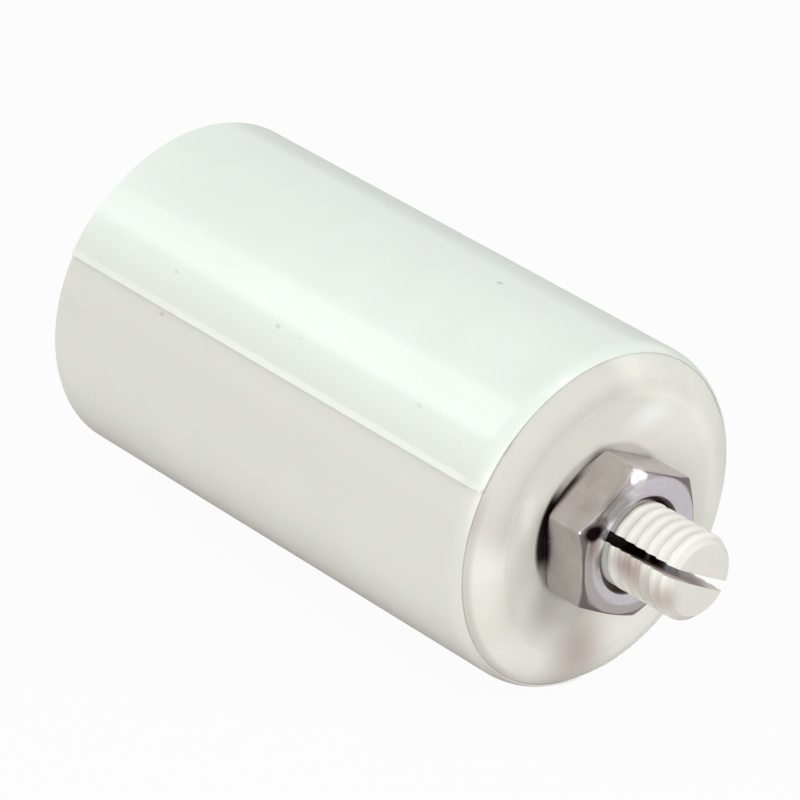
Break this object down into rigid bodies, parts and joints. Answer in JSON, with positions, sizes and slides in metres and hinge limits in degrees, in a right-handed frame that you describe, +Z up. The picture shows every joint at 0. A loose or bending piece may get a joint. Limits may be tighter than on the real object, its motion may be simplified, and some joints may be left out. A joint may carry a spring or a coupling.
{
  "type": "motor run capacitor",
  "caption": "Cylindrical plastic-cased motor run capacitor with a moulded slotted threaded stud and hex nut on its base and double blade terminals in a recessed cover.",
  "frame": {"origin": "centre of the mounting face, on the axis, at the root of the stud", "axes": "+X along the axis towards the stud's tip, +Z up as the can lies, the line through both terminals along Z"},
  "size_m": [0.0709, 0.032, 0.032],
  "materials": {
    "moulded_plastic": "moulded, semi-gloss, cream white",
    "sleeve_film": "satin film, cream white",
    "zinc_plated_steel": "bright zinc plating",
    "cover_plastic": "moulded, matt",
    "tinned_brass": "tin-plated, pressed",
    "rivet_brass": "bright brass",
    "tinned_copper": "tinned copper wire",
    "insulation": "extruded",
    "solder": "tin solder",
    "wound_film": "metallised film",
    "core_tube": "extruded tube",
    "wrap_film": "adhesive film",
    "sprayed_zinc": "rough sprayed metal",
    "resin": "cast"
  },
  "bodies": {
    "root": {"case": "moulded_plastic", "film_sleeve": "sleeve_film", "hex_nut": "zinc_plated_steel", "cover": "cover_plastic", "terminal_upper": "tinned_brass", "terminal_lower": "tinned_brass", "rivet_upper": "rivet_brass", "rivet_lower": "rivet_brass", "tag_upper": "tinned_brass", "tag_lower": "tinned_brass", "lead_upper": "tinned_copper", "lead_lower": "tinned_copper", "lead_insulation": "insulation", "solder_joints": "solder", "winding": "wound_film", "winding_core": "core_tube", "winding_wrap": "wrap_film", "spray_base": "sprayed_zinc", "spray_cover": "sprayed_zinc", "potting": "resin"}
  },
  "joints": []
}
